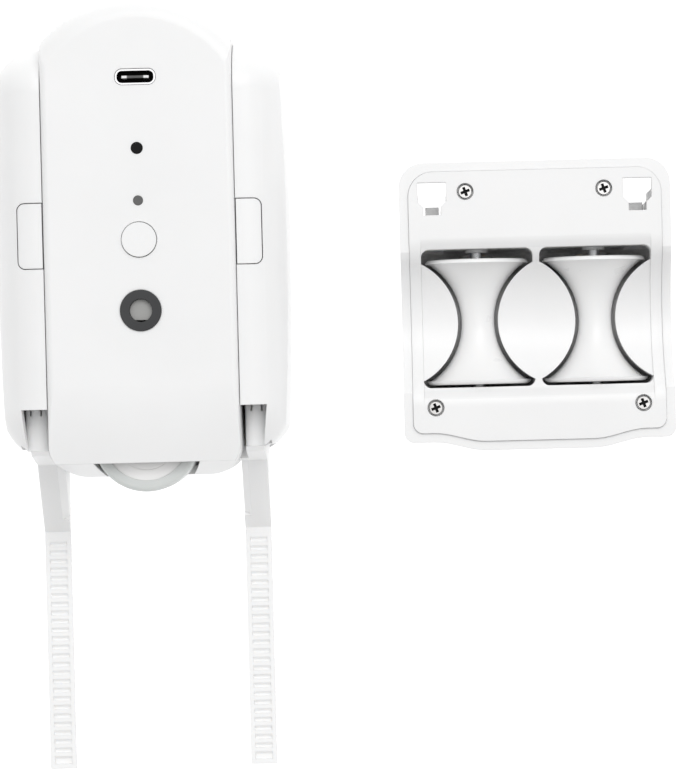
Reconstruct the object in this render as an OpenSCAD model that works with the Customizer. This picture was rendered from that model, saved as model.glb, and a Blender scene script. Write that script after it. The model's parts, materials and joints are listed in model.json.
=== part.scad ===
// Curtain rod drive set: a motor unit with a rubber drive wheel and two toothed strap arms,
// and beside it the roller clamp that closes over the rod. Both pieces lie on their backs.
// Millimetres. The origin is the centre of the motor unit's back face, under the main button.
// +X is to the right, +Y points from the wheel end to the round end, +Z is up to the front.

/* [Motor unit] */
// Width of the central front cover, between the two long seams
column_w = 45.8; // [44:0.1:47]
// Highest point of the round end above the main button
column_top = 58; // [57:0.5:60]
// Front face height above the back face
body_depth = 48; // [47:0.5:50]
// Half width of the whole body across the side wings
wing_half_w = 34.9; // [34.5:0.1:36]
// Wall thickness of the plastic shells
wall = 2.2; // [1.8:0.1:2.6]

/* [Controls] */
// Diameter of the main button cap
button_d = 8.3; // [7:0.1:8.6]
// Height of the main button cap above the front face
button_proud = 0.5; // [0.3:0.1:1]
// Outer diameter of the light sensor bezel
sensor_d = 9.9; // [9:0.1:11]

/* [Drive wheel] */
// Tread radius of the rubber tyre
wheel_r = 12.9; // [12.5:0.1:13.1]
// Width of the drive wheel
wheel_w = 15; // [13:0.5:15]

/* [Strap arms] */
// Number of ratchet teeth on each strap
tooth_count = 26; // [20:1:26]
// Distance from one ratchet tooth to the next
tooth_pitch = 2.13; // [2:0.01:2.14]
// Width of each strap
strap_w = 6.4; // [6:0.1:6.5]

/* [Clamp] */
// Width of the clamp
clamp_w = 66; // [65:0.5:68]
// Height of the clamp at its sides
clamp_h = 68; // [67.6:0.2:69]
// Thickness of the clamp
clamp_depth = 28; // [27:0.5:30]
// Radius at the waist of each hourglass roller
roller_waist_r = 4; // [3.5:0.1:4.5]
// Radius of the rim of each hourglass roller
roller_rim_r = 12.7; // [12:0.1:12.8]

/* [Hidden] */
// Any $fn above 12 is a true circle in the exact solids.
$fn = 96;
eps = 0.02;
seam = 0.14;

// Motor unit shells
column_half = column_w / 2;
column_bottom = -56.7;
dome_r = 30.6;
dome_y = column_top - dome_r;
base_top = 24;
back_corner_r = 5;
front_edge_r = 1.6;
column_corner_r = 8;
dome_edge_r = 5;
chin_r = 70;
chin_y = -35;
chin_fold_y = -53.2;
chin_fold_z = 41.6;
chin_band_z = 27;
wing_top = 46.7;
wing_bottom = -52.5;
wing_top_r = 11;
wing_bottom_r = 13;
wing_bow_r = 800;
wing_front = 46.8;
wing_shoulder_r = 11;

// Arms and their channels
arm_x = 26;
slot_outer = 29.3;
slot_top = -40;
slot_slant = 6;
channel_in = 21.5;
channel_out = 29.7;
channel_floor = 3.4;
channel_top = 26;
channel_end = 12;
arm_inner = 23.7;
arm_outer = 29.2;
arm_round = 2.4;
arm_notch_w = 0.45;
arm_bottom = 4;
arm_front = 19;
neck_front = 38;
neck_room = 30;
arm_inner_end = -14;
knuckle_y = -50;
strap_x = 24.9;
strap_start = -70.5;
slope_top_y = -53.6;
slope_top_z = 21;
slope_chamfer = 2.4;
strap_tip = -129.3;
strap_back = 4.2;
strap_t = 2.1;
strap_rail = 1.1;
tooth_h = 0.5;
tooth_top_y = -72;
spring_coils = 9;
spring_r = 2.2;
spring_wire = 0.7;

// Release buttons
release_w = 6.2;
release_top = 9.2;
release_bottom = -6.3;
release_corner_r = 1.7;
release_gap = 0.2;
release_travel = 1.5;
release_depth = 9;

// Front fittings on the centre line
usb_y = 38.8;
usb_w = 8.8;
usb_h = 2.9;
usb_wall = 0.4;
usb_corner_r = 1.25;
usb_clear = 0.12;
usb_tongue_w = 6.7;
usb_tongue_h = 0.6;
usb_depth = 6.2;
dot_y = 21.8;
dot_d = 2.9;
led_y = 9.3;
led_d = 2.4;
sensor_y = -16.9;
sensor_window_d = 5.5;
button_skirt_d = 10;
board_z = 40.2;
board_t = 1.4;

// Wheel and gears; every axis is parallel to Z
wheel_y = -47.4;
wheel_mid_z = 33;
tyre_inner_r = 10.2;
hub_boss_r = 7.6;
axle_r = 2;
bearing_r = 4;
bearing_t = 2.4;
gear_z = 18.6;
gear_t = 4;
gear_m = 0.6;
pinion_teeth = 12;
idler_teeth = 30;
output_teeth = 20;
motor_y = wheel_y + gear_m * (output_teeth + 2 * idler_teeth + pinion_teeth) / 2;
idler_y = wheel_y + gear_m * (output_teeth + idler_teeth) / 2;
motor_r = 9.5;
wheel_gap = 1.1;

// Battery
cell_d = 18;
cell_len = 50;
cell_x = 9.3;
cell_z = 13;
cell_bottom = -4;

// Clamp
clamp_x = 94.95;
clamp_top = 17.6;
clamp_bottom = clamp_top - clamp_h;
clamp_half = clamp_w / 2;
clamp_corner_r = 6;
clamp_low_corner_r = 2.4;
lip_drop = 2.2;
lip_half = 13;
lip_shoulder = 26;
lip_steps = 10;
lip_run = lip_shoulder - lip_half;
rim_w = 2.2;
rim_step = 0.6;
plate_gap = 0.04;
opening_x = 25;
opening_w = 6.9;
opening_h = 5.5;
opening_relief = 1.4;
opening_skin = 2.4;
opening_y = clamp_top - 7.6;
tongue_slot_w = 4.3;
tongue_slot_h = 2.4;
pawl_w = 3.3;
roller_x = 14.4;
roller_y = clamp_top - 38.8;
roller_len = 30.6;
roller_z = clamp_depth - 12.8;
roller_gap = 0.9;
axle_hole_r = 1.5;
roller_top_gap = 2.4;
roller_low_gap = 0.7;
roller_arc_r = 17;
rim_flat = 1;
rim_round = 0.95;
boss_r = 2.8;
boss_len = 0.7;
trough_half = 28;
trough_gap = 1.5;
side_rise = 0.4;
trough_round = 7;
void_half_w = 12;
void_roof = 24;
screw_head_r = 1.5;
screw_ring = 0.55;
screw_cross_r = 1.15;
screw_cross_w = 0.7;
screw_sink = 2;
screw_shank_r = 0.9;
screw_top_x = 16.85;
screw_top_y = clamp_top - 7.2;
screw_low_x = 25.25;
screw_low_y = clamp_top - 59.6;

// ---------- Shared shapes ----------

// The waste outside a quarter circle centred at the origin, in the +X +Y corner.
module corner_waste(r) {
  difference() {
    square(r + 2);
    circle(r);
  }
}

// A rectangle centred at the origin with four equal round corners.
module round_rect(w, h, r) {
  square([w - 2 * r, h], center = true);
  square([w, h - 2 * r], center = true);
  for (sx = [-1, 1])
    for (sy = [-1, 1])
      translate([sx * (w / 2 - r), sy * (h / 2 - r)])
        circle(r);
}

// Stands a drawing made in X and Z up along Y, from y0 to y1.
module along_y(y0, y1) {
  translate([0, y1, 0])
    rotate([90, 0, 0])
      linear_extrude(y1 - y0)
        children();
}

// Runs a drawing made in Y and Z along X, from x0 to x1.
module along_x(x0, x1) {
  translate([x0, 0, 0])
    rotate([90, 0, 90])
      linear_extrude(x1 - x0)
        children();
}

// A flat bar between two points of a drawing, with square ends.
module block(x0, x1, y0, y1, z0, z1) {
  translate([x0, y0, z0])
    cube([x1 - x0, y1 - y0, z1 - z0]);
}

// ---------- Motor unit outlines ----------

// The central column seen from the front, taken in by a margin all round.
module column_outline(inset = 0) {
  half = column_half - inset;
  intersection() {
    union() {
      translate([0, dome_y])
        circle(dome_r - inset);
      translate([-half, column_bottom - 5])
        square([2 * half, dome_y - column_bottom + 5]);
    }
    difference() {
      translate([-half, column_bottom + inset])
        square([2 * half, column_top - column_bottom]);
      for (s = [-1, 1])
        translate([s * (half - column_corner_r), column_bottom + inset + column_corner_r])
          rotate(s > 0 ? -90 : 180)
            corner_waste(column_corner_r);
    }
  }
}

// Both side wings and the middle seen from the front, taken in by a margin all round.
module wing_outline(inset = 0) {
  half = wing_half_w - inset;
  top = wing_top - inset;
  bottom = wing_bottom + inset;
  difference() {
    intersection() {
      translate([-half, bottom])
        square([2 * half, top - bottom]);
      translate([half - wing_bow_r, 0])
        circle(wing_bow_r, $fn = 720);
      translate([wing_bow_r - half, 0])
        circle(wing_bow_r, $fn = 720);
    }
    for (s = [-1, 1]) {
      translate([s * (half - wing_top_r), top - wing_top_r])
        rotate(s > 0 ? 0 : 90)
          corner_waste(wing_top_r);
      translate([s * (half - wing_bottom_r), bottom + wing_bottom_r])
        rotate(s > 0 ? -90 : 180)
          corner_waste(wing_bottom_r);
    }
  }
}

module body_outline(inset = 0) {
  column_outline(inset);
  wing_outline(inset);
}

// Side view of the column: flat front, gently falling chin, and a band that slopes back
// under a folded lower edge.
module column_side(inset = 0) {
  front = body_depth - inset;
  low = column_bottom + inset;
  difference() {
    translate([low, -1])
      square([column_top - column_bottom + 10, front + 1]);
    translate([chin_y, 0])
      mirror([1, 0])
        difference() {
          square([60, front + 1]);
          translate([0, front - chin_r])
            circle(chin_r, $fn = 240);
          square([60, front - chin_r / 4]);
        }
    polygon([
      [low - 5, front + 5],
      [chin_fold_y + inset, front + 5],
      [chin_fold_y + inset, chin_fold_z - inset],
      [low, chin_band_z],
      [low - 5, chin_band_z]
    ]);
  }
}

// End view of the column: a flat front with soft long edges.
module column_end(inset = 0) {
  half = column_half - inset;
  front = body_depth - inset;
  difference() {
    translate([-half, -1])
      square([2 * half, front + 1]);
    for (s = [-1, 1])
      translate([s * (half - front_edge_r), front - front_edge_r])
        rotate(s > 0 ? 0 : 90)
          corner_waste(front_edge_r);
  }
}

// Half section of the round end, from its centre out to its soft rim.
module dome_section(inset = 0) {
  difference() {
    square([dome_r - inset, body_depth - inset]);
    translate([dome_r - inset - dome_edge_r, body_depth - inset - dome_edge_r])
      corner_waste(dome_edge_r);
  }
}

// The lower end of the column seen from the front, with its round corners.
module chin_outline(inset = 0) {
  half = column_half + 0.5;
  low = column_bottom + inset;
  difference() {
    translate([-half, low - 1])
      square([2 * half, 130]);
    for (s = [-1, 1])
      translate([s * (column_half - inset - column_corner_r), low + column_corner_r])
        rotate(s > 0 ? -90 : 180)
          corner_waste(column_corner_r);
  }
}

// The whole solid form of the column, from the back face to the front.
module column_form(inset = 0) {
  intersection() {
    union() {
      translate([0, dome_y, 0])
        rotate_extrude()
          dome_section(inset);
      block(-column_half - 1, column_half + 1, column_bottom - 1, dome_y, 0, body_depth - inset);
    }
    along_x(-column_half - 2, column_half + 2)
      column_side(inset);
    along_y(column_bottom - 2, column_top + 1)
      column_end(inset);
    linear_extrude(body_depth + 1)
      chin_outline(inset);
  }
}

// Section of a wing's shoulder, measured outward from the distance start.
module shoulder_section(start, inset = 0) {
  reach = wing_half_w - inset - start;
  intersection() {
    square([reach, wing_front - inset]);
    union() {
      translate([wing_half_w - wing_shoulder_r - start, wing_front - wing_shoulder_r])
        circle(wing_shoulder_r - inset);
      square([reach, wing_front - wing_shoulder_r]);
      square([wing_half_w - wing_shoulder_r - start + eps, wing_front - inset]);
    }
  }
}

// The whole solid form of the right wing: straight shoulders and ball-shaped corners.
module right_wing_form(inset = 0) {
  top_x = wing_half_w - wing_top_r;
  top_y = wing_top - wing_top_r;
  low_x = wing_half_w - wing_bottom_r;
  low_y = wing_bottom + wing_bottom_r;
  inner = low_x - 1;
  intersection() {
    union() {
      along_y(low_y, top_y)
        translate([inner, 0])
          shoulder_section(inner, inset);
      translate([top_x, top_y, 0])
        rotate_extrude()
          shoulder_section(top_x, inset);
      along_x(inner, top_x)
        translate([top_y, 0])
          shoulder_section(top_x, inset);
      translate([low_x, low_y, 0])
        rotate_extrude()
          shoulder_section(low_x, inset);
    }
    linear_extrude(body_depth)
      translate([wing_half_w - inset - wing_bow_r, 0])
        circle(wing_bow_r, $fn = 720);
  }
}

// The long channel that a strap arm slides in, on the side given by s.
module arm_channel(s) {
  mirror([s > 0 ? 0 : 1, 0, 0])
    block(channel_in, channel_out, column_bottom - 5, channel_end, channel_floor, channel_top);
}

// The slot seen in the front of a wing: straight inside, slanting outside, open below.
module arm_slot(s) {
  mirror([s > 0 ? 0 : 1, 0, 0])
    translate([0, 0, channel_top - 3])
      linear_extrude(body_depth)
        polygon([
          [column_half - 1, slot_top],
          [slot_outer, slot_top],
          [slot_outer - 22 * tan(slot_slant), slot_top - 22],
          [column_half - 1, slot_top - 22]
        ]);
}

// The wheel well cut through the lower end of the body.
module wheel_well(z0, z1) {
  translate([0, wheel_y, z0])
    cylinder(r = wheel_r + wheel_gap, h = z1 - z0);
}

module usb_outline(grow = 0) {
  round_rect(usb_w + 2 * grow, usb_h + 2 * grow, usb_corner_r + grow);
}

// ---------- Motor unit shells ----------

module rear_housing() {
  color("#f3f3f3")
    difference() {
      intersection() {
        linear_extrude(base_top)
          body_outline();
        // Soft back edges down both sides.
        along_y(column_bottom - 1, column_top + 1)
          difference() {
            translate([-wing_half_w, 0])
              square([2 * wing_half_w, base_top]);
            for (s = [-1, 1])
              translate([s * (wing_half_w - back_corner_r), back_corner_r])
                rotate(s > 0 ? -90 : 180)
                  corner_waste(back_corner_r);
          }
        // Soft back edges at both ends.
        along_x(-wing_half_w, wing_half_w)
          difference() {
            translate([column_bottom, 0])
              square([column_top - column_bottom, base_top]);
            translate([column_top - back_corner_r, back_corner_r])
              rotate(-90)
                corner_waste(back_corner_r);
            translate([column_bottom + back_corner_r, back_corner_r])
              rotate(180)
                corner_waste(back_corner_r);
          }
      }
      // Main hollow between the two channel walls.
      translate([0, 0, wall])
        linear_extrude(base_top)
          intersection() {
            column_outline(wall);
            square([2 * (channel_in - wall), 200], center = true);
          }
      // Upper side hollows above the channels.
      for (s = [-1, 1])
        mirror([s > 0 ? 0 : 1, 0, 0])
          translate([0, 0, wall])
            linear_extrude(base_top)
              intersection() {
                wing_outline(wall);
                translate([channel_in, channel_end + wall])
                  square([20, 60]);
              }
      arm_channel(1);
      arm_channel(-1);
      wheel_well(wheel_mid_z - wheel_w / 2 - 1, base_top + 1);
    }
}

module wing_cover(s) {
  color("#f1f1f1")
    mirror([s > 0 ? 0 : 1, 0, 0])
      difference() {
        intersection() {
          right_wing_form();
          block(column_half + seam, wing_half_w + 1, -80, 80, base_top + seam, body_depth);
        }
        // Hollow inside, kept clear of the walls.
        intersection() {
          right_wing_form(wall);
          block(column_half + seam + wall, wing_half_w, slot_top + wall, 80,
                base_top - 1, body_depth);
        }
        arm_slot(1);
        arm_channel(1);
        // Room for the arm's neck under the front skin.
        block(channel_in, neck_room, -80, slot_top + 3.5, base_top, neck_front + 2);
        release_cut(1);
      }
}

// The pocket in a wing that a release button sits in.
module release_cut(s) {
  mirror([s > 0 ? 0 : 1, 0, 0])
    translate([0, 0, base_top - 1])
      linear_extrude(body_depth)
        release_outline(release_gap);
}

module release_outline(grow = 0) {
  mid = (release_top + release_bottom) / 2;
  height = release_top - release_bottom;
  intersection() {
    translate([column_half + seam, mid])
      round_rect(2 * (release_w - seam + grow), height + 2 * grow, release_corner_r + grow);
    translate([column_half + seam, -60])
      square([40, 120]);
  }
}

module release_button(s) {
  color("#f1f1f1")
    mirror([s > 0 ? 0 : 1, 0, 0]) {
      intersection() {
        right_wing_form(0.1);
        translate([0, 0, wing_front - release_depth])
          linear_extrude(body_depth)
            intersection() {
              release_outline();
              translate([column_half + 2 * seam, -60])
                square([40, 120]);
            }
      }
      // Push rod that reaches down towards the arm.
      translate([arm_x, (release_top + release_bottom) / 2, base_top + 1 + release_travel])
        cylinder(r = 1.5, h = wing_front - release_depth - base_top - release_travel);
    }
}

module front_cover() {
  color("#f4f4f4")
    difference() {
      intersection() {
        column_form();
        block(-column_half, column_half, -80, 80, base_top + seam, body_depth);
      }
      intersection() {
        column_form(wall);
        block(-column_half, column_half, -80, 80, base_top - 1, body_depth);
      }
      // The clear strip beside each arm, so that the arm heads can pass.
      arm_channel(1);
      arm_channel(-1);
      wheel_well(base_top - 1, wheel_mid_z + wheel_w / 2 + 0.8);
      translate([0, usb_y, body_depth / 2])
        linear_extrude(body_depth)
          usb_outline(usb_wall + usb_clear);
      translate([0, dot_y, body_depth / 2])
        cylinder(d = dot_d, h = body_depth);
      translate([0, led_y, body_depth / 2])
        cylinder(d = led_d, h = body_depth);
      translate([0, 0, body_depth / 2])
        cylinder(d = button_d + 0.3, h = body_depth);
      translate([0, sensor_y, body_depth / 2])
        cylinder(d = sensor_d, h = body_depth);
    }
}

module housing_screws() {
  color("#9a9a9a")
    for (p = [[-12.5, 48.9], [12.5, 48.9], [-15, -30], [15, -30]])
      translate([p[0], p[1], wall]) {
        cylinder(r = 1.1, h = 1);
        cylinder(r = 2, h = 0.8);
      }
}

// ---------- Front fittings ----------

module usb_port_shell() {
  color("#b8babc")
    difference() {
      translate([0, usb_y, body_depth - usb_depth])
        linear_extrude(usb_depth - 0.2)
          usb_outline(usb_wall);
      translate([0, usb_y, body_depth - usb_depth + 0.6])
        linear_extrude(usb_depth)
          usb_outline();
    }
}

module usb_port_tongue() {
  color("#2a2a2c")
    translate([0, usb_y, body_depth - usb_depth + 0.6])
      linear_extrude(usb_depth - 1.1)
        square([usb_tongue_w, usb_tongue_h], center = true);
}

module indicator_window() {
  color("#1c1c1c")
    translate([0, dot_y, board_z + board_t])
      cylinder(d = dot_d, h = body_depth - board_z - board_t);
}

module status_led() {
  color("#666666")
    translate([0, led_y, board_z + board_t])
      cylinder(d = led_d, h = body_depth - board_z - board_t - 0.1);
}

module light_sensor_bezel() {
  color("#414141")
    translate([0, sensor_y, board_z + board_t])
      difference() {
        cylinder(d = sensor_d, h = body_depth - board_z - board_t + 0.3);
        translate([0, 0, 1])
          cylinder(d = sensor_window_d, h = body_depth);
      }
}

module light_sensor_cell() {
  color("#9f9f9e")
    translate([0, sensor_y, board_z + board_t + 1])
      difference() {
        cylinder(d = sensor_window_d - 0.1, h = 4.2);
        // The flat side of the sensor's round case.
        block(-4, 4, -4, -2.3, -1, 6);
      }
}

module main_button() {
  color("#f5f5f5")
    translate([0, 0, body_depth + button_proud]) {
      mirror([0, 0, 1])
        cylinder(d = button_d, h = 3.6);
      translate([0, 0, -4.4])
        cylinder(d = 2, h = 1);
      translate([0, 0, -3.6])
        cylinder(d = button_skirt_d, h = 0.7);
    }
}

module main_circuit_board() {
  color("#1f6b3a")
    block(-18, 18, -24, 45, board_z, board_z + board_t);
}

module tact_switch() {
  color("#3a3a3a")
    translate([0, 0, board_z + board_t]) {
      translate([-3, -3, 0])
        cube([6, 6, 1.4]);
      cylinder(d = 3, h = 1.9);
    }
}

module board_chips() {
  color("#262626") {
    block(6, 13, 8, 15, board_z - 1, board_z);
    block(-14, -8, -18, -12, board_z - 1, board_z);
    block(-14, -6, 22, 32, board_z - 1.4, board_z);
  }
}

// ---------- Battery and drive ----------

module battery_cell(s) {
  color("#2f6fb0")
    translate([s * cell_x, cell_bottom, cell_z])
      rotate([-90, 0, 0])
        cylinder(d = cell_d, h = cell_len);
}

module battery_cradle() {
  color("#dcdcdc")
    difference() {
      block(-18.6, 18.6, cell_bottom, cell_bottom + cell_len, wall, cell_z - 3);
      for (s = [-1, 1])
        translate([s * cell_x, cell_bottom - 1, cell_z])
          rotate([-90, 0, 0])
            cylinder(d = cell_d + 0.1, h = cell_len + 2);
    }
}

module gearbox_case() {
  color("#d8d8d8")
    difference() {
      // A plate under the gears with a post for the idler.
      union() {
        block(-12, 12, wheel_y - 5, motor_y + 6, gear_z - 4, gear_z - 1.6);
        for (x = [-10.5, 10.5])
          translate([x, motor_y - 2, wall])
            cylinder(r = 1.8, h = gear_z - 4 - wall);
      }
      translate([0, wheel_y, 0])
        cylinder(r = bearing_r, h = body_depth);
    }
  color("#d8d8d8")
    translate([0, idler_y, gear_z - 1.6])
      cylinder(r = 1.5, h = gear_t + 2);
}

module drive_motor() {
  color("#8d9096")
    translate([0, motor_y, gear_z + gear_t + 1.6]) {
      cylinder(r = motor_r, h = 14);
      mirror([0, 0, 1])
        cylinder(r = 3, h = 0.8);
    }
}

// Trapezoid teeth set round a disc, with one tooth pointing along +Y.
module gear_outline(teeth) {
  pitch_r = gear_m * teeth / 2;
  root_r = pitch_r - 0.95 * gear_m;
  tip_r = pitch_r + 0.75 * gear_m;
  half_root = gear_m * 0.85;
  half_tip = gear_m * 0.35;
  circle(root_r + 0.1);
  for (i = [0:teeth - 1])
    rotate(i * 360 / teeth)
      polygon([
        [-half_root, root_r - 0.2],
        [half_root, root_r - 0.2],
        [half_tip, tip_r],
        [-half_tip, tip_r]
      ]);
}

module motor_pinion() {
  color("#c9a24a")
    translate([0, motor_y, gear_z])
      linear_extrude(gear_t + 0.6)
        rotate(180)
          gear_outline(pinion_teeth);
}

module idler_gear() {
  color("#e6e6e0")
    translate([0, idler_y, gear_z])
      difference() {
        linear_extrude(gear_t)
          rotate(180 / idler_teeth)
            gear_outline(idler_teeth);
        translate([0, 0, -1])
          cylinder(r = 1.55, h = gear_t + 2);
      }
}

module output_gear() {
  color("#e6e6e0")
    translate([0, wheel_y, gear_z])
      difference() {
        linear_extrude(gear_t)
          gear_outline(output_teeth);
        translate([0, 0, -1])
          cylinder(r = axle_r, h = gear_t + 2);
      }
}

module wheel_axle() {
  color("#b4b6b9")
    translate([0, wheel_y, gear_z - 4])
      cylinder(r = axle_r, h = wheel_mid_z + wheel_w / 2 + 2.6 - gear_z + 4);
}

module drive_wheel_hub() {
  color("#f2f2f0")
    translate([0, wheel_y, wheel_mid_z - wheel_w / 2])
      difference() {
        union() {
          cylinder(r = tyre_inner_r, h = wheel_w - 0.4);
          cylinder(r = hub_boss_r, h = wheel_w);
        }
        translate([0, 0, -1])
          cylinder(r = axle_r, h = wheel_w + 2);
      }
}

module drive_wheel_tyre() {
  color("#d2d4d3")
    translate([0, wheel_y, wheel_mid_z])
      rotate_extrude()
        difference() {
          translate([tyre_inner_r, -wheel_w / 2])
            square([wheel_r - tyre_inner_r, wheel_w]);
          for (s = [-1, 1])
            translate([wheel_r - 1.2, s * (wheel_w / 2 - 1.2)])
              rotate(s > 0 ? 0 : -90)
                corner_waste(1.2);
        }
}

module wheel_bearings() {
  color("#a8aaad")
    translate([0, wheel_y, gear_z - 4])
      difference() {
        cylinder(r = bearing_r, h = bearing_t);
        translate([0, 0, -1])
          cylinder(r = axle_r + 0.05, h = bearing_t + 2);
      }
}

// ---------- Strap arms ----------

// Section of the slider: square below and rounded along both front edges.
module slider_section(front) {
  difference() {
    translate([arm_inner, arm_bottom])
      square([arm_outer - arm_inner, front - arm_bottom]);
    translate([arm_outer - arm_round, front - arm_round])
      corner_waste(arm_round);
    translate([arm_inner + arm_round, front - arm_round])
      rotate(90)
        corner_waste(arm_round);
  }
}

module strap_arm(s) {
  strap_in = strap_x - strap_w / 2;
  strap_out = strap_x + strap_w / 2;
  slope = atan2(slope_top_z - strap_back - strap_t, slope_top_y - strap_start);
  color("#efefef")
    mirror([s > 0 ? 0 : 1, 0, 0])
      difference() {
        union() {
          // The slider, low inside the channel and full height in the slot; its outer side
          // follows the rounded end of the wing.
          intersection() {
            union() {
              along_y(slot_top + 3, arm_inner_end)
                slider_section(arm_front);
              along_y(knuckle_y, slot_top + 3 + eps)
                slider_section(neck_front);
            }
            linear_extrude(body_depth)
              wing_outline(0.3);
          }
          // The knuckle that slopes back to the strap.
          along_x(strap_in, strap_out)
            polygon([
              [knuckle_y + eps, arm_bottom],
              [knuckle_y + eps, neck_front - 0.6],
              [knuckle_y - 1.2, neck_front - 3],
              [slope_top_y, slope_top_z],
              [strap_start, strap_back + strap_t],
              [strap_start, strap_back],
              [strap_start + 8, arm_bottom]
            ]);
          // The strap: a thin floor with two side rails.
          block(strap_in, strap_out, strap_tip, strap_start + 1,
                strap_back, strap_back + strap_t - tooth_h);
          for (side = [-1, 1])
            translate([side * (strap_w - strap_rail) / 2, 0, 0])
              block(strap_x - strap_rail / 2, strap_x + strap_rail / 2, strap_tip,
                    strap_start + 1, strap_back, strap_back + strap_t);
          block(strap_in, strap_out, tooth_top_y, strap_start + 1,
                strap_back, strap_back + strap_t);
          block(strap_in, strap_out, strap_tip, strap_tip + 1.2,
                strap_back, strap_back + strap_t);
          // Ratchet teeth between the rails.
          along_x(strap_in + strap_rail / 2, strap_out - strap_rail / 2)
            for (i = [0:tooth_count - 1])
              translate([tooth_top_y - i * tooth_pitch, strap_back + strap_t - tooth_h - eps])
                polygon([
                  [0, 0],
                  [-tooth_pitch * 0.75, 0],
                  [-tooth_pitch * 0.45, tooth_h],
                  [0, tooth_h]
                ]);
        }
        // Inner side of the knuckle, cut down so that it passes under the front cover.
        block(strap_in - 1, arm_inner, slope_top_y, knuckle_y + 1, base_top - seam, neck_front);
        // Seat for the return spring.
        translate([arm_x, arm_inner_end - 4, arm_bottom + 7])
          rotate([-90, 0, 0])
            cylinder(r = spring_r + 0.4, h = 6);
        // Two narrow notches that leave a tab at the top of the slot.
        for (x = [arm_x - 0.7, arm_x + 1.8])
          translate([x - arm_notch_w / 2, slot_top - 1.5, neck_front - 2])
            cube([arm_notch_w, 2.5, 3]);
        // Chamfer down the inner edge of the slope.
        translate([strap_in, slope_top_y, slope_top_z])
          rotate([slope, 0, 0])
            translate([0, -9, 0])
              rotate([0, 45, 0])
                cube([slope_chamfer, 19, slope_chamfer], center = true);
      }
}

// A coil drawn as a stack of rings joined by one thin rod, seated between arm and end wall.
module arm_spring(s) {
  length = channel_end - arm_inner_end + 3.6;
  color("#a9abae")
    translate([s * arm_x, channel_end - length, arm_bottom + 7])
      rotate([-90, 0, 0]) {
        for (i = [0:spring_coils])
          translate([0, 0, spring_wire / 2 + i * (length - spring_wire) / spring_coils])
            rotate_extrude()
              translate([spring_r - spring_wire / 2, 0])
                circle(spring_wire / 2);
        translate([spring_r - spring_wire / 2, 0, 0.2])
          cylinder(r = 0.2, h = length - 0.4);
      }
}

// ---------- Clamp ----------

// How far the lip has fallen at a share t of its run.
function lip_fall(t) = lip_drop * (1 - cos(180 * t)) / 2;

// The clamp seen from the front, with its shallow lip below.
module clamp_outline(inset = 0) {
  half = clamp_half - inset;
  top = clamp_top - inset;
  bottom = clamp_bottom + inset;
  difference() {
    union() {
      translate([-half, bottom])
        square([2 * half, top - bottom]);
      // The lip falls away in a soft S on both sides.
      polygon(concat(
        [for (i = [0:lip_steps])
          [-lip_shoulder + lip_run * i / lip_steps, bottom - lip_fall(i / lip_steps)]],
        [for (i = [0:lip_steps])
          [lip_half + lip_run * i / lip_steps, bottom - lip_fall(1 - i / lip_steps)]],
        [[lip_shoulder, bottom + 1], [-lip_shoulder, bottom + 1]]
      ));
    }
    for (s = [-1, 1]) {
      translate([s * (half - clamp_corner_r), top - clamp_corner_r])
        rotate(s > 0 ? 0 : 90)
          corner_waste(clamp_corner_r);
      translate([s * (half - clamp_low_corner_r), bottom + clamp_low_corner_r])
        rotate(s > 0 ? -90 : 180)
          corner_waste(clamp_low_corner_r);
    }
  }
}

// Side view of the rod seat: an arc that follows the rollers' waists, with soft shoulders
// where it meets the front.
module trough_side(rise = 0) {
  arc_r = roller_arc_r + trough_gap - rise;
  arc_z = roller_z + roller_waist_r + roller_arc_r;
  shoulder_z = clamp_depth - trough_round;
  shoulder_y = sqrt(pow(arc_r + trough_round, 2) - pow(arc_z - shoulder_z, 2));
  translate([roller_y, 0])
    difference() {
      union() {
        translate([0, arc_z])
          circle(arc_r, $fn = 240);
        polygon([
          [-shoulder_y, clamp_depth + 10],
          [-shoulder_y, shoulder_z],
          [0, arc_z],
          [shoulder_y, shoulder_z],
          [shoulder_y, clamp_depth + 10]
        ]);
      }
      for (s = [-1, 1])
        translate([s * shoulder_y, shoulder_z])
          circle(trough_round);
    }
}

// The seat for the rod: deeper between the rollers' ends, a little shallower at the sides.
module trough() {
  along_x(-trough_half, trough_half)
    trough_side();
  along_x(-clamp_half - 1, clamp_half + 1)
    trough_side(side_rise);
}

// Half outline of a roller: a round-edged rim at each end and a round waist between.
module roller_half(grow = 0, top_grow = 0, low_grow = 0) {
  half = roller_len / 2;
  nose = rim_round + grow;
  difference() {
    translate([0, -half - low_grow])
      square([roller_rim_r + grow, roller_len + low_grow + top_grow]);
    intersection() {
      translate([roller_waist_r + roller_arc_r, 0])
        circle(roller_arc_r - grow);
      translate([0, -half + rim_flat])
        square([roller_rim_r + grow + 1, roller_len - 2 * rim_flat]);
    }
    translate([roller_rim_r + grow - nose, half + top_grow - nose])
      corner_waste(nose);
    translate([roller_rim_r + grow - nose, -half - low_grow + nose])
      rotate(-90)
        corner_waste(nose);
  }
}

module roller_pocket(s) {
  translate([s * roller_x, roller_y, roller_z])
    rotate([-90, 0, 0])
      rotate_extrude()
        roller_half(roller_gap, roller_top_gap, roller_low_gap);
  // The pocket's walls run straight up to the front.
  translate([s * roller_x, roller_y, roller_z])
    linear_extrude(clamp_depth)
      for (side = [0, 1])
        mirror([side, 0])
          roller_half(roller_gap, roller_top_gap, roller_low_gap);
}

// The boss round each axle on the upper wall of its pocket.
module axle_boss(s) {
  translate([s * roller_x, roller_y + roller_len / 2 + roller_top_gap, roller_z])
    rotate([90, 0, 0])
      difference() {
        translate([0, 0, -0.5])
          cylinder(r = boss_r, h = boss_len + 0.5);
        translate([0, 0, -1])
          cylinder(r = axle_hole_r, h = boss_len + 2);
      }
}

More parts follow.
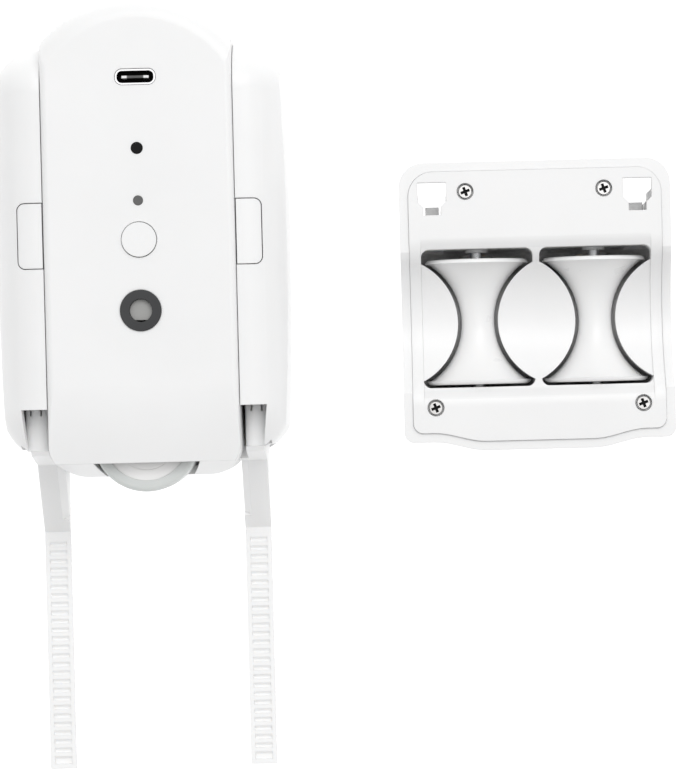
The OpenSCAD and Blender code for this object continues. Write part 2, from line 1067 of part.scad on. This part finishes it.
// The opening that takes a strap arm, with the narrow slot for the pawl below it.
module strap_opening(s) {
  translate([s * opening_x, opening_y, -1])
    linear_extrude(clamp_depth + 2) {
      polygon([
        [-opening_w / 2, opening_h / 2],
        [-opening_w / 2, -opening_h / 2 + 0.9],
        [-tongue_slot_w / 2, -opening_h / 2 - 0.4],
        [tongue_slot_w / 2, -opening_h / 2 - 0.4],
        [opening_w / 2, -opening_h / 2 + 0.9],
        [opening_w / 2, opening_h / 2]
      ]);
      translate([-tongue_slot_w / 2, -opening_h / 2 - tongue_slot_h])
        square([tongue_slot_w, tongue_slot_h]);
    }
  // Wider behind the front skin.
  translate([s * opening_x, opening_y, 0])
    block(-opening_w / 2 - opening_relief, opening_w / 2 + opening_relief,
          0, opening_h / 2 + opening_relief, -1, clamp_depth - opening_skin);
}

module screw_places() {
  for (s = [-1, 1]) {
    translate([s * screw_top_x, screw_top_y, 0])
      children();
    translate([s * screw_low_x, screw_low_y, 0])
      children();
  }
}

module clamp_shell() {
  color("#f2f2f2")
    translate([clamp_x, 0, 0])
      difference() {
        linear_extrude(clamp_depth - rim_step)
          clamp_outline();
        // Seat for the inner plate.
        translate([0, 0, wall])
          linear_extrude(clamp_depth)
            clamp_outline(rim_w);
        for (s = [-1, 1])
          strap_opening(s);
        along_x(-clamp_half - 1, clamp_half + 1)
          trough_side(side_rise);
      }
}

module clamp_plate() {
  color("#f4f4f4")
    translate([clamp_x, 0, 0]) {
      difference() {
        translate([0, 0, wall])
          linear_extrude(clamp_depth - wall)
            clamp_outline(rim_w + plate_gap);
        trough();
        for (s = [-1, 1]) {
          strap_opening(s);
          roller_pocket(s);
          // Room for the pawl and its pin behind the front skin.
          translate([s * opening_x, opening_y - 8, wall])
            block(-2.6, 2.6, -6, 6.4, 0, 16);
          // Bores for the roller axle.
          translate([s * roller_x, roller_y, roller_z])
            rotate([90, 0, 0])
              cylinder(r = axle_hole_r, h = roller_len + 12, center = true);
        }
        // Hollow behind the upper part of the front.
        block(-void_half_w, void_half_w, roller_y + 23.5, clamp_top - 5, wall - 1, void_roof);
        screw_places()
          translate([0, 0, clamp_depth - screw_sink])
            cylinder(r = screw_head_r + screw_ring, h = 5);
        screw_places()
          translate([0, 0, clamp_depth - 10])
            cylinder(r = screw_shank_r, h = 12);
      }
      for (s = [-1, 1])
        axle_boss(s);
    }
}

module clamp_screws() {
  color("#a3a09b")
    translate([clamp_x, 0, 0])
      screw_places()
        translate([0, 0, clamp_depth - screw_sink])
          difference() {
            union() {
              cylinder(r = screw_head_r, h = screw_sink - 0.35);
              mirror([0, 0, 1])
                cylinder(r = screw_shank_r, h = 8);
            }
            for (turn = [0, 90])
              rotate(turn + 20)
                translate([0, 0, screw_sink - 0.1])
                  cube([2 * screw_cross_r, screw_cross_w, 2], center = true);
          }
}

module roller(s) {
  color("#f6f6f5")
    translate([clamp_x + s * roller_x, roller_y, roller_z])
      rotate([-90, 0, 0])
        rotate_extrude()
          difference() {
            roller_half();
            translate([-1, -roller_len])
              square([1 + 1.55, 2 * roller_len]);
            // Shallow recess round the hub at each end.
            for (end = [-1, 1])
              translate([4.5, end * roller_len / 2 - 0.4])
                square([6, 0.8]);
          }
}

module roller_axle(s) {
  color("#b4b6b9")
    translate([clamp_x + s * roller_x, roller_y, roller_z])
      rotate([90, 0, 0])
        cylinder(r = axle_hole_r, h = roller_len + 11, center = true);
}

// A springy tongue that hooks into the strap teeth.
module pawl(s) {
  color("#b9b9b9")
    translate([clamp_x + s * opening_x, opening_y - 5.6, 0]) {
      along_x(-pawl_w / 2, pawl_w / 2)
        polygon([
          [-1.6, 8],
          [1.4, 8],
          [2.75, 13],
          [2.75, 17.5],
          [0.7, 17.5],
          [0.7, 13],
          [-1.6, 10]
        ]);
      translate([0, -0.1, 7])
        rotate([0, 90, 0])
          difference() {
            cylinder(r = 2, h = pawl_w, center = true);
            cylinder(r = 0.8, h = pawl_w + 1, center = true);
          }
    }
}

module pawl_pin(s) {
  color("#b4b6b9")
    translate([clamp_x + s * opening_x, opening_y - 5.7, 7])
      rotate([0, 90, 0])
        cylinder(r = 0.75, h = 5.2, center = true);
}

rear_housing();
wing_cover(-1);  // left_wing_cover
wing_cover(1);  // right_wing_cover
front_cover();
housing_screws();
usb_port_shell();
usb_port_tongue();
indicator_window();
status_led();
light_sensor_bezel();
light_sensor_cell();
main_circuit_board();
board_chips();
tact_switch();
battery_cell(-1);  // left_battery_cell
battery_cell(1);  // right_battery_cell
battery_cradle();
gearbox_case();
drive_motor();
wheel_bearings();
main_button();
release_button(-1);  // left_release_button
release_button(1);  // right_release_button
strap_arm(-1);  // left_arm
strap_arm(1);  // right_arm
arm_spring(-1);  // left_arm_spring
arm_spring(1);  // right_arm_spring
motor_pinion();
idler_gear();
output_gear();
wheel_axle();
drive_wheel_hub();
drive_wheel_tyre();
clamp_shell();
clamp_plate();
clamp_screws();
roller(-1);  // left_roller
roller(1);  // right_roller
roller_axle(-1);  // left_roller_axle
roller_axle(1);  // right_roller_axle
pawl(-1);  // left_pawl
pawl(1);  // right_pawl
pawl_pin(-1);  // left_pawl_pin
pawl_pin(1);  // right_pawl_pin
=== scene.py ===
import json
import math

import bpy
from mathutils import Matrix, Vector

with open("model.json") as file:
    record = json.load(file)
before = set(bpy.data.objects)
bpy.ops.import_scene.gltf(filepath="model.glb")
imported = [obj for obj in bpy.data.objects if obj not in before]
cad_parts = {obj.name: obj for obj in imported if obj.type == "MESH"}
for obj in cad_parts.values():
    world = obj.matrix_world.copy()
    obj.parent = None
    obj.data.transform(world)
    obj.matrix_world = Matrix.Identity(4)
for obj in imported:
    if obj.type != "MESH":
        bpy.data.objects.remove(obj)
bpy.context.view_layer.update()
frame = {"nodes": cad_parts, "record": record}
MM = 0.001

# Plastic, shared by every moulded part.
EDGE_SOFTNESS = 0.25 * MM
PLASTIC_IOR = 1.49
SUBSURFACE_DEPTH = 2 * MM
PATCH_SCALE = 38.0
GLOSS_SCALE = 120.0
GRAIN_HEIGHT = 0.1 * MM

# Metal.
MARK_SCALE = 300.0
MARK_HEIGHT = 0.05 * MM
MARK_STRETCH = (1, 1, 40)

# Light, floor and camera.
FLOOR_SIZE = 6
FLOOR_GREY = 0.12
FLOOR_GLOW = 1.15
SKY_LEAN = (0.08, 0.46, 0.88)
SKY_LOW = 0.56
SKY_STRENGTH = 0.86
SOFTBOX_PLACE = (0.30, 0.60, 1.4)
SOFTBOX_WATTS = 8.5
CAMERA_PLACE = (0.06883, -0.03676, 1.023)
CAMERA_TILT = math.radians(1.45)
CAMERA_LENS = 190.7
CAMERA_SENSOR = 36
CAMERA_SHIFT = -0.1195


# ---------- Materials ----------


def new_material(name):
    mat = bpy.data.materials.new(name)
    mat.use_nodes = True
    mat.node_tree.nodes.clear()
    return mat


def node(mat, kind, **values):
    n = mat.node_tree.nodes.new(kind)
    for key, value in values.items():
        if key in n.inputs:
            n.inputs[key].default_value = value
        else:
            setattr(n, key, value)
    return n


def link(mat, a, out, b, inp):
    mat.node_tree.links.new(a.outputs[out], b.inputs[inp])


def ramp(mat, low, high, start, end):
    """A two-stop colour ramp from one RGB to another."""
    n = mat.node_tree.nodes.new("ShaderNodeValToRGB")
    n.color_ramp.elements[0].position = start
    n.color_ramp.elements[0].color = (*low, 1)
    n.color_ramp.elements[1].position = end
    n.color_ramp.elements[1].color = (*high, 1)
    return n


def moulded(name, low, high, rough=(0.32, 0.45), grain=0.05, grain_scale=1800,
            subsurface=0.0, painted_shade=0.0, specular=0.5):
    """Moulded plastic: two close tones in soft patches, fine texture, and uneven gloss.

    painted_shade sets how much the recesses and creases are darkened as painted shade, and every
    sharp edge is softened in the shading.
    """
    mat = new_material(name)
    out = node(mat, "ShaderNodeOutputMaterial")
    skin = node(mat, "ShaderNodeBsdfPrincipled")
    skin.inputs["IOR"].default_value = PLASTIC_IOR
    skin.inputs["Specular IOR Level"].default_value = specular
    skin.inputs["Subsurface Weight"].default_value = subsurface
    skin.inputs["Subsurface Radius"].default_value = (1.0, 0.95, 0.9)
    skin.inputs["Subsurface Scale"].default_value = SUBSURFACE_DEPTH
    place = node(mat, "ShaderNodeTexCoord")
    patches = node(mat, "ShaderNodeTexNoise", Scale=PATCH_SCALE, Detail=3.0, Roughness=0.5)
    link(mat, place, "Object", patches, "Vector")
    tone = ramp(mat, low, high, 0.35, 0.65)
    link(mat, patches, "Fac", tone, "Fac")
    # Painted shade: recesses and creases (low pointiness) are multiplied darker.
    if painted_shade > 0:
        shape = node(mat, "ShaderNodeNewGeometry")
        shade_ramp = ramp(mat, (1 - painted_shade,) * 3, (1, 1, 1), 0.44, 0.52)
        link(mat, shape, "Pointiness", shade_ramp, "Fac")
        mix = node(mat, "ShaderNodeMix", data_type="RGBA", blend_type="MULTIPLY")
        mix.inputs[0].default_value = 1.0
        link(mat, tone, "Color", mix, 6)
        link(mat, shade_ramp, "Color", mix, 7)
        mat.node_tree.links.new(mix.outputs[2], skin.inputs["Base Color"])
    else:
        link(mat, tone, "Color", skin, "Base Color")
    gloss = node(mat, "ShaderNodeTexNoise", Scale=GLOSS_SCALE, Detail=4.0, Roughness=0.6)
    link(mat, place, "Object", gloss, "Vector")
    spread = node(mat, "ShaderNodeMapRange")
    spread.inputs["To Min"].default_value = rough[0]
    spread.inputs["To Max"].default_value = rough[1]
    link(mat, gloss, "Fac", spread, "Value")
    link(mat, spread, "Result", skin, "Roughness")
    fine = node(mat, "ShaderNodeTexNoise", Scale=float(grain_scale), Detail=2.0, Roughness=0.5)
    link(mat, place, "Object", fine, "Vector")
    bump = node(mat, "ShaderNodeBump", Strength=grain, Distance=GRAIN_HEIGHT)
    soft_edge = node(mat, "ShaderNodeBevel", Radius=EDGE_SOFTNESS)
    soft_edge.samples = 4
    link(mat, fine, "Fac", bump, "Height")
    link(mat, soft_edge, "Normal", bump, "Normal")
    link(mat, bump, "Normal", skin, "Normal")
    link(mat, skin, "BSDF", out, "Surface")
    return mat


def metal(name, low, high, rough=(0.2, 0.38), grain=0.25):
    """Bare metal with fine marks drawn out along one direction."""
    mat = new_material(name)
    out = node(mat, "ShaderNodeOutputMaterial")
    skin = node(mat, "ShaderNodeBsdfPrincipled")
    skin.inputs["Metallic"].default_value = 1.0
    place = node(mat, "ShaderNodeTexCoord")
    turn = node(mat, "ShaderNodeMapping")
    turn.inputs["Scale"].default_value = MARK_STRETCH
    link(mat, place, "Object", turn, "Vector")
    marks = node(mat, "ShaderNodeTexNoise", Scale=MARK_SCALE, Detail=6.0, Roughness=0.7)
    link(mat, turn, "Vector", marks, "Vector")
    tone = ramp(mat, low, high, 0.3, 0.7)
    link(mat, marks, "Fac", tone, "Fac")
    link(mat, tone, "Color", skin, "Base Color")
    spread = node(mat, "ShaderNodeMapRange")
    spread.inputs["To Min"].default_value = rough[0]
    spread.inputs["To Max"].default_value = rough[1]
    link(mat, marks, "Fac", spread, "Value")
    link(mat, spread, "Result", skin, "Roughness")
    bump = node(mat, "ShaderNodeBump", Strength=grain, Distance=MARK_HEIGHT)
    link(mat, marks, "Fac", bump, "Height")
    link(mat, bump, "Normal", skin, "Normal")
    link(mat, skin, "BSDF", out, "Surface")
    return mat


SHELL = moulded("shell_white", (0.865, 0.866, 0.866), (0.885, 0.886, 0.886), (0.30, 0.42),
                subsurface=0.15, painted_shade=0.06)
CLAMP = moulded("clamp_white_plastic", (0.86, 0.86, 0.86), (0.88, 0.88, 0.88), (0.32, 0.46),
                subsurface=0.15, painted_shade=0.08)
BUTTON = moulded("button_white_plastic", (0.875, 0.876, 0.876), (0.892, 0.893, 0.893), (0.28, 0.38),
                 subsurface=0.15)
NYLON = moulded("arm_nylon", (0.90, 0.902, 0.902), (0.92, 0.921, 0.921), (0.4, 0.55),
                grain=0.12, grain_scale=1300, subsurface=0.3)
ACETAL = moulded("roller_acetal", (0.87, 0.87, 0.868), (0.89, 0.89, 0.888), (0.24, 0.34),
                 subsurface=0.25)
TYRE = moulded("tyre_silicone", (0.62, 0.645, 0.635), (0.67, 0.69, 0.68), (0.35, 0.5),
               grain=0.2, grain_scale=900, subsurface=0.5)
HUB = moulded("hub_white_plastic", (0.87, 0.866, 0.858), (0.89, 0.886, 0.88), (0.35, 0.5))
BLACK = moulded("black_plastic_and_painted_shade", (0.003, 0.003, 0.0035), (0.007, 0.007, 0.0075), (0.45, 0.6),
                specular=0.15)
BEZEL = moulded("bezel_dark", (0.036, 0.037, 0.039), (0.052, 0.053, 0.055), (0.35, 0.5),
                specular=0.3)
LED = moulded("led_smoked", (0.10, 0.10, 0.10), (0.145, 0.14, 0.135), (0.25, 0.35))
CELL = moulded("sensor_cell_grey", (0.34, 0.34, 0.33), (0.42, 0.42, 0.41), (0.35, 0.5))
BOARD = moulded("board_solder_mask", (0.02, 0.10, 0.045), (0.04, 0.16, 0.07), (0.3, 0.45))
WRAP = moulded("cell_shrink_wrap", (0.04, 0.16, 0.36), (0.06, 0.2, 0.42), (0.2, 0.35))
CRADLE = moulded("cradle_plastic", (0.58, 0.58, 0.58), (0.64, 0.64, 0.64), (0.4, 0.55))
GEAR = moulded("gear_acetal", (0.78, 0.78, 0.74), (0.84, 0.84, 0.81), (0.3, 0.45))
PAWL = moulded("pawl_plastic", (0.84, 0.84, 0.84), (0.89, 0.89, 0.89), (0.35, 0.5))
STEEL = metal("bright_steel", (0.52, 0.53, 0.54), (0.68, 0.69, 0.70))
SCREW = metal("plated_screw", (0.62, 0.61, 0.60), (0.80, 0.79, 0.78), (0.3, 0.5))
PORT = metal("port_nickel", (0.86, 0.86, 0.87), (0.95, 0.95, 0.96), (0.25, 0.35))
CAN = metal("motor_can_steel", (0.40, 0.41, 0.43), (0.52, 0.53, 0.55))
BRASS = metal("pinion_brass", (0.62, 0.44, 0.16), (0.74, 0.55, 0.24))

# The port's tongue along half its width: how far out each tone starts, and how bright it is.
TONGUE_HALF_W = 3.35 * MM
TONGUE_TONES = [(0.0, 0.10), (0.55, 0.12), (0.64, 0.85), (0.94, 0.85), (0.99, 0.02)]


def port_tongue():
    """Dark plastic with a pale contact strip: bright at both ends, greyer in the middle."""
    mat = moulded("tongue_plastic", (0.02, 0.02, 0.02), (0.03, 0.03, 0.03), (0.4, 0.5),
                  specular=0.2)
    skin = mat.node_tree.nodes["Principled BSDF"]
    place = node(mat, "ShaderNodeTexCoord")
    split = node(mat, "ShaderNodeSeparateXYZ")
    link(mat, place, "Object", split, "Vector")
    away = node(mat, "ShaderNodeMath", operation="ABSOLUTE")
    link(mat, split, "X", away, 0)
    strip = node(mat, "ShaderNodeValToRGB")
    stops = strip.color_ramp.elements
    stops.remove(stops[1])
    for i, (place_out, grey) in enumerate(TONGUE_TONES):
        stop = stops[0] if i == 0 else stops.new(place_out)
        stop.position = place_out
        stop.color = (grey, grey, grey, 1)
    spread = node(mat, "ShaderNodeMapRange")
    spread.inputs["From Max"].default_value = TONGUE_HALF_W
    link(mat, away, "Value", spread, "Value")
    link(mat, spread, "Result", strip, "Fac")
    link(mat, strip, "Color", skin, "Base Color")
    return mat


TONGUE = port_tongue()

# Finish of each material slot that the record names.
FINISH = {
    "white_shell": SHELL, "clamp_white": CLAMP, "button_white": BUTTON, "arm_white": NYLON,
    "roller_white": ACETAL, "tyre_grey": TYRE, "hub_white": HUB, "steel": STEEL,
    "screw_steel": SCREW, "port_metal": PORT, "black_plastic": BLACK, "bezel_grey": BEZEL,
    "led_grey": LED, "sensor_cell": CELL, "board_green": BOARD, "cell_wrap": WRAP,
    "cradle_grey": CRADLE, "motor_can": CAN, "brass": BRASS, "gear_white": GEAR,
    "pawl_grey": PAWL,
}
for part in frame["record"]["subparts"]:
    shown = frame["nodes"][part["node"]]
    shown.data.materials.clear()
    shown.data.materials.append(FINISH[part["material_slot"]])

# Metal parts shown bright on their top face only: their walls and recesses get the black material
# as painted shade.
for name in ("usb_port_shell", "clamp_screws"):
    mesh = frame["nodes"][name].data
    mesh.materials.append(BLACK)
    rim_height = max(v.co.z for v in mesh.vertices) - 0.02 * MM
    for face in mesh.polygons:
        if min(mesh.vertices[i].co.z for i in face.vertices) < rim_height:
            # Painted shade: every face below the top face takes the black material.
            face.material_index = 1
tongue = frame["nodes"]["usb_port_tongue"]
tongue.data.materials.clear()
tongue.data.materials.append(TONGUE)


# ---------- Stage: floor, light and camera ----------

bpy.ops.mesh.primitive_plane_add(size=FLOOR_SIZE, location=(0.047, -0.036, 0))
floor = bpy.context.object
floor.name = "floor"
floor_mat = new_material("floor_paper")
floor_out = node(floor_mat, "ShaderNodeOutputMaterial")
floor_skin = node(floor_mat, "ShaderNodeBsdfPrincipled")
floor_skin.inputs["Base Color"].default_value = (FLOOR_GREY, FLOOR_GREY, FLOOR_GREY, 1)
floor_skin.inputs["Roughness"].default_value = 0.9
floor_skin.inputs["Emission Color"].default_value = (1, 1, 1, 1)
floor_skin.inputs["Emission Strength"].default_value = FLOOR_GLOW
link(floor_mat, floor_skin, "BSDF", floor_out, "Surface")
floor.data.materials.append(floor_mat)

world = bpy.data.worlds.new("studio")
bpy.context.scene.world = world
world.use_nodes = True
sky = world.node_tree
sky_place = sky.nodes.new("ShaderNodeTexCoord")
sky_lean = sky.nodes.new("ShaderNodeVectorMath")
sky_lean.operation = "DOT_PRODUCT"
sky_lean.inputs[1].default_value = Vector(SKY_LEAN).normalized()
sky_ramp = sky.nodes.new("ShaderNodeValToRGB")
sky_ramp.color_ramp.elements[0].position = 0.0
sky_ramp.color_ramp.elements[0].color = (SKY_LOW, SKY_LOW, SKY_LOW, 1)
sky_ramp.color_ramp.elements[1].position = 0.9
sky_ramp.color_ramp.elements[1].color = (1, 1, 1, 1)
sky.links.new(sky_place.outputs["Generated"], sky_lean.inputs[0])
sky.links.new(sky_lean.outputs["Value"], sky_ramp.inputs["Fac"])
sky.links.new(sky_ramp.outputs["Color"], sky.nodes["Background"].inputs["Color"])
sky.nodes["Background"].inputs["Strength"].default_value = SKY_STRENGTH


def area_light(name, place, target, width, height, watts):
    data = bpy.data.lights.new(name, "AREA")
    data.shape = "RECTANGLE"
    data.size = width
    data.size_y = height
    data.energy = watts
    lamp = bpy.data.objects.new(name, data)
    bpy.context.scene.collection.objects.link(lamp)
    lamp.location = place
    aim = Vector(target) - Vector(place)
    lamp.rotation_euler = aim.to_track_quat("-Z", "Y").to_euler()


area_light("key_softbox", SOFTBOX_PLACE, (0.05, -0.03, 0), 1.2, 0.7, SOFTBOX_WATTS)

camera_data = bpy.data.cameras.new("camera")
camera_data.lens = CAMERA_LENS
camera_data.sensor_width = CAMERA_SENSOR
camera = bpy.data.objects.new("camera", camera_data)
bpy.context.scene.collection.objects.link(camera)
camera_data.shift_x = CAMERA_SHIFT
camera.location = CAMERA_PLACE
camera.rotation_euler = (0, 0, -CAMERA_TILT)
bpy.context.scene.camera = camera
bpy.context.scene.view_settings.view_transform = "Standard"
bpy.context.scene.view_settings.look = "None"
